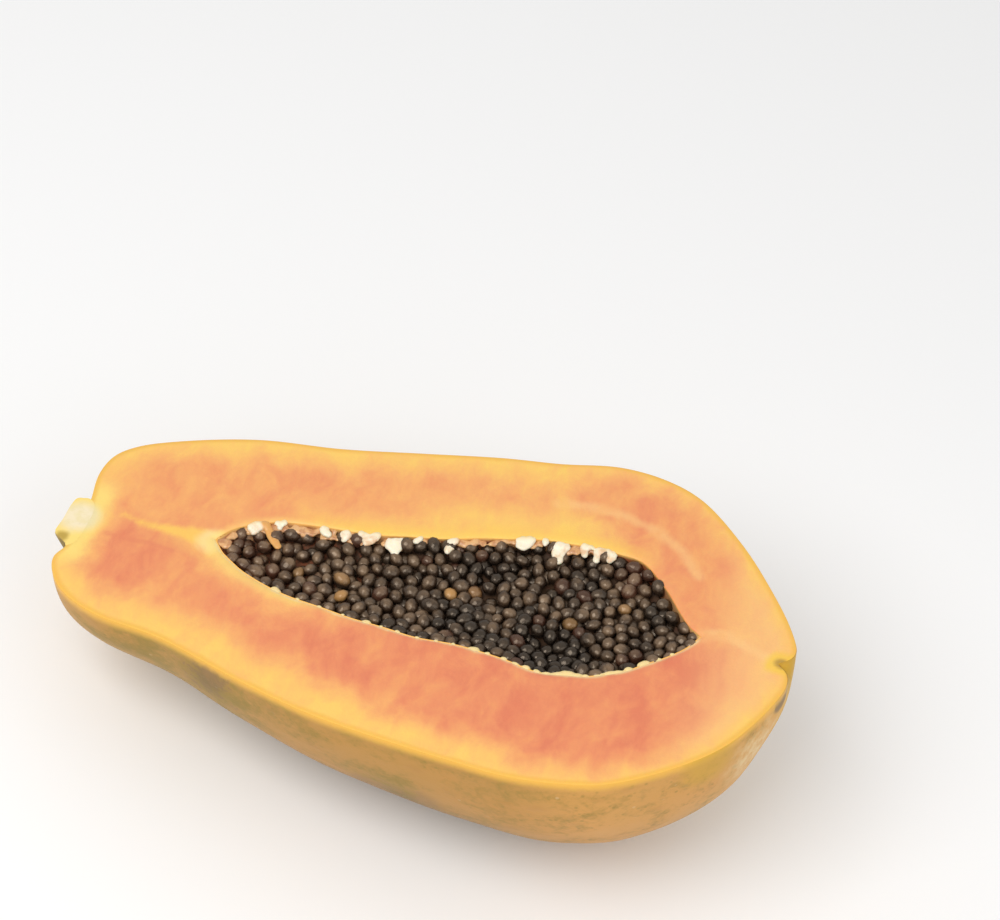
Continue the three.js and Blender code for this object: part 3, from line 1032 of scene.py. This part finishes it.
pulp = {
    # torn pulp on the far wall: place along, length, and where it starts and ends over the seeds
    "clumps": [
        (60.4, 8, 0, 3), (67, 3, 0, 2.2), (83.2, 4.6, 0, 3), (89.9, 3.6, 0.6, 3.4), (98.6, 7.4, 0, 3.2),
        (107.6, 8, 1.6, 6.4), (115, 3, 0, 2.6), (126, 3.6, 0.6, 4.6), (150, 6.4, 0, 3.6),
        (157, 3, 0, 2), (162.4, 6.6, 0.6, 6.8), (171, 4.6, 0, 3), (175.6, 3.6, 0.6, 4.4),
        (180.6, 5, 0, 3),
    ],
    # the thin skin that hangs between them
    "shreds": [
        (55, 7, 2.6), (58, 5, 4.2), (63, 7, 3.6), (70, 8, 2.6), (78, 10, 3.4), (88, 8, 3),
        (96, 8, 3.4), (107, 8, 4), (118, 8, 2), (132, 10, 1.7), (143, 8, 1.5), (153, 6, 2),
        (166, 14, 2.6), (175, 6, 2.2),
    ],
    "lump": 1.5,
    "lumpsPerArea": 0.85,  # for each square millimetre
    "slope": 0.4,  # how steeply a clump lies on the seeds
    "tip": (51.4, 4.8, 1.7),  # it fills the slim end too: place along and across, size
    "tipLumps": 14,
    "shredLumps": 1.6,  # for each millimetre
    "toothLumps": 3,
    # flesh that stands over the near edge: place along and size
    "teeth": [
        (75.6, 1.6), (84, 0.9), (92, 1), (101, 0.8), (109.7, 1.6), (115, 0.9), (121, 1), (128, 0.9),
        (134, 1), (140, 1), (147.2, 2.1), (152, 1.1), (158, 1.2), (162, 1.1), (166, 1.3), (169.6, 1.2),
        (173.1, 1.5), (176.4, 1.4), (179.9, 2), (183, 1.4), (186.2, 1.2), (189.8, 1.6), (193.4, 1.7),
        (196, 1.3), (198.9, 1.7), (202.9, 1.9), (206.8, 1.7), (211, 1.1),
    ],
    "strand": [(62.6, 17.6), (64.2, 15), (66.2, 12.6), (68.8, 10)],
    "strandLumps": 12,
    "fineness": 0.42,
    "softness": (0.6, 12),  # strength and rounds
    "white": paint(249, 235, 208),
    "pink": paint(230, 190, 148),
    "tooth": paint(250, 218, 152),
    "amber": paint(226, 166, 92),
    "shred": paint(226, 176, 120),
    "wet": paint(192, 134, 88),
}


def pulpFinish():
    finish = Finish("papayaPulp", pulp["white"])
    spot = finish.spot()
    film = finish.cloud(spot, 2.4, 3, 0.6, 0.5)
    patch = finish.cloud(spot, 7, 2)
    finish.coat((film * 0.4 + patch * 0.6).between(0.48, 0.66), pulp["pink"])
    finish.coat(finish.attribute("wallGap").between(1.6, -0.8) * 0.7, pulp["tooth"])
    finish.coat(finish.attribute("nearSide"), pulp["tooth"])
    finish.coat((finish.attribute("strandGap") + film).between(3.2, 2), pulp["amber"])
    inputs = {
        "Roughness": film * 0.2 + 0.3,
        **softInside(0.3, (0.002, 0.0014, 0.001)),
        **wetCoat(0.2, 0.2),
    }
    return finish.surface(inputs, film, 0.3, 0.4)


def shredFinish():
    finish = Finish("wetShreds", pulp["shred"])
    spot = finish.spot()
    film = finish.cloud(spot, 3, 3, 0.6, 0.5)
    finish.coat(film.between(0.4, 0.65), pulp["wet"])
    inputs = {
        "Roughness": film * 0.2 + 0.2,
        **softInside(0.2, (0.002, 0.0014, 0.001)),
        **wetCoat(0.3, 0.15),
    }
    return finish.surface(inputs, film, 0.4, 0.4)


def pulpLump(place, size, turn=0):
    bpy.ops.mesh.primitive_ico_sphere_add(
        subdivisions=2, radius=mm, location=[p * mm for p in place], rotation=(0, 0, turn), scale=size
    )
    return bpy.context.object


def makeClumps(draw):
    lumps = []
    for along, length, start, reach in pulp["clumps"]:
        for _ in range(max(4, int(length * (reach - start) * pulp["lumpsPerArea"]))):
            depth = start + draw.random() ** 1.4 * (reach - start)
            taper = 1 - 0.7 * depth / reach  # narrower where it reaches out
            place = along + draw.uniform(-0.5, 0.5) * length * taper
            size = pulp["lump"] * draw.uniform(0.5, 1.15)
            height = -0.2 - depth * pulp["slope"] - draw.uniform(0, 0.5)
            spot = (place, edgeAt(mouthFar, place) - depth, height)
            lumps.append(pulpLump(spot, (size * 0.9, size * 1.1, size * 0.65), draw.uniform(-0.6, 0.6)))
    return lumps


def makeShreds(draw):
    along, across, reach = pulp["tip"]
    lumps = []
    for _ in range(pulp["tipLumps"]):
        spot = (along + draw.uniform(-1, 1) * reach, across + draw.uniform(-0.8, 0.8) * reach, -1.4)
        lumps.append(pulpLump(spot, (1.5, 1.3, 1)))
    for along, length, reach in pulp["shreds"]:
        for _ in range(int(length * pulp["shredLumps"])):
            place = along + draw.uniform(-0.5, 0.5) * length
            depth = draw.random() * reach
            height = -1.3 - depth * 0.35 - draw.uniform(0, 0.6)
            spot = (place, edgeAt(mouthFar, place) - depth, height)
            size = (draw.uniform(1, 1.9), draw.uniform(0.9, 1.6), 0.8)
            lumps.append(pulpLump(spot, size, draw.uniform(-1, 1)))
    return lumps


def makeTeeth(draw):
    lumps = []
    for along, size in pulp["teeth"]:
        for _ in range(pulp["toothLumps"]):
            place = along + draw.uniform(-0.5, 0.5) * size
            across = edgeAt(mouthNear, place) + draw.uniform(-0.2, 0.35) * size
            span = size * draw.uniform(0.85, 1.3)
            lumps.append(pulpLump((place, across, -0.2 - span * 0.6), (span, span * 0.9, span * 0.6)))
    return lumps


def makeStrand():
    count = pulp["strandLumps"]
    points = alongRail([(*p, -1.2) for p in pulp["strand"]], np.linspace(0, 1, count))
    points[:, 2] -= 1.8 * np.arange(count) / count  # it sinks in among the seeds
    thick = 1.2 + 0.7 * np.sin(np.linspace(0.3, 2.5, count))
    return [pulpLump(point, (t, t, 0.8)) for point, t in zip(points, thick)]


def skinnedOver(lumps, name):  # lumps melted into one soft body
    made = joinPieces(lumps, name)
    bpy.ops.object.transform_apply(location=True, rotation=True, scale=True)
    skinOver = made.modifiers.new("skinOver", "REMESH")
    skinOver.mode, skinOver.voxel_size = "VOXEL", pulp["fineness"] * mm
    soften = made.modifiers.new("soften", "SMOOTH")
    soften.factor, soften.iterations = pulp["softness"]
    for modifier in ("skinOver", "soften"):
        bpy.ops.object.modifier_apply(modifier=modifier)
    writeAttribute(made, "fruitSpot", readPoints(made) / mm)
    return made


def makePulp():
    draw = random.Random(7)
    clearSelection()
    made = skinnedOver(makeClumps(draw) + makeTeeth(draw) + makeStrand(), "pulpTufts")
    points = readPoints(made) / mm
    middle = (edgeAt(mouthFar, points[:, 0]) + edgeAt(mouthNear, points[:, 0])) / 2
    writeAttribute(made, "nearSide", (points[:, 1] < middle).astype(float))
    writeAttribute(made, "wallGap", edgeAt(mouthFar, points[:, 0]) - points[:, 1])
    writeAttribute(made, "strandGap", outlineDistance(points[:, :2], pulp["strand"]))
    made.data.materials.append(pulpFinish())
    return made


def makeShredPiece():
    clearSelection()
    made = skinnedOver(makeShreds(random.Random(17)), "pulpShreds")
    made.data.materials.append(shredFinish())
    return made


half = makeHalf()
cutSocket(half, turnedStub("stubCutter", stub["clearance"]))
markHalf(half)
settle(half)
layDown(half)
keepEdges(half)
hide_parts("papaya_half")
print("half fruit", len(half.data.polygons))

tufts = makePulp()
shreds = makeShredPiece()
for piece in (tufts, shreds):
    settle(piece)
print("pulp", len(tufts.data.polygons), "and", len(shreds.data.polygons))

bed = makeSeeds()
settle(bed)
mush = makeMush()
settle(mush)
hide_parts("seed_bed")
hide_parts("seed_bed")
print("seed bed", len(bed.data.polygons))

stubPiece = makeStub()
settle(stubPiece)
keepEdges(stubPiece)
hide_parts("stalk_stub")
print("stub", len(stubPiece.data.polygons))


studio = {
    "floor": (0.96, 0.96, 0.96, 1),
    "floorSize": 6,
    "sky": 0.6,
    "key": {"place": (-0.5, -0.85, 1.35), "size": 1.1, "power": 14.8, "colour": (1, 0.99, 0.975)},
    "fill": {"place": (1.2, -0.7, 1.0), "size": 1.4, "power": 5, "colour": (0.98, 0.99, 1)},
}

view = {"place": (340.28, -672.22, 718.57), "turn": 15.755, "height": 43, "lens": 108, "sensor": 36}


def makeFloor():
    clearSelection()
    bpy.ops.mesh.primitive_plane_add(size=studio["floorSize"])
    floor = newest("floor")
    floor.data.materials.append(Finish("floorPaint", studio["floor"]).surface({"Roughness": 0.7}))


def makeLamp(name, lamp):
    light = bpy.data.lights.new(name, "AREA")
    light.size, light.energy, light.color = lamp["size"], lamp["power"], lamp["colour"]
    holder = putIn(name, light)
    holder.location = lamp["place"]
    holder.rotation_euler = (-Vector(lamp["place"])).to_track_quat("-Z", "Y").to_euler()


def makeSky():
    world = bpy.data.worlds.new("studioSky")
    world.use_nodes = True
    world.node_tree.nodes["Background"].inputs["Color"].default_value = (1, 1, 1, 1)
    world.node_tree.nodes["Background"].inputs["Strength"].default_value = studio["sky"]
    bpy.context.scene.world = world


def makeCamera():
    lens = bpy.data.cameras.new("camera")
    lens.lens, lens.sensor_width = view["lens"], view["sensor"]
    camera = putIn("camera", lens)
    tilt = Matrix.Rotation(math.radians(90 - view["height"]), 4, "X")
    aim = Matrix.Rotation(math.radians(view["turn"]), 4, "Z") @ tilt
    camera.matrix_world = fromFruit @ Matrix.Translation(Vector(view["place"]) * mm) @ aim
    bpy.context.scene.camera = camera


makeFloor()
makeLamp("keyLamp", studio["key"])
makeLamp("fillLamp", studio["fill"])
makeSky()
makeCamera()
bpy.context.scene.view_settings.view_transform = "Standard"
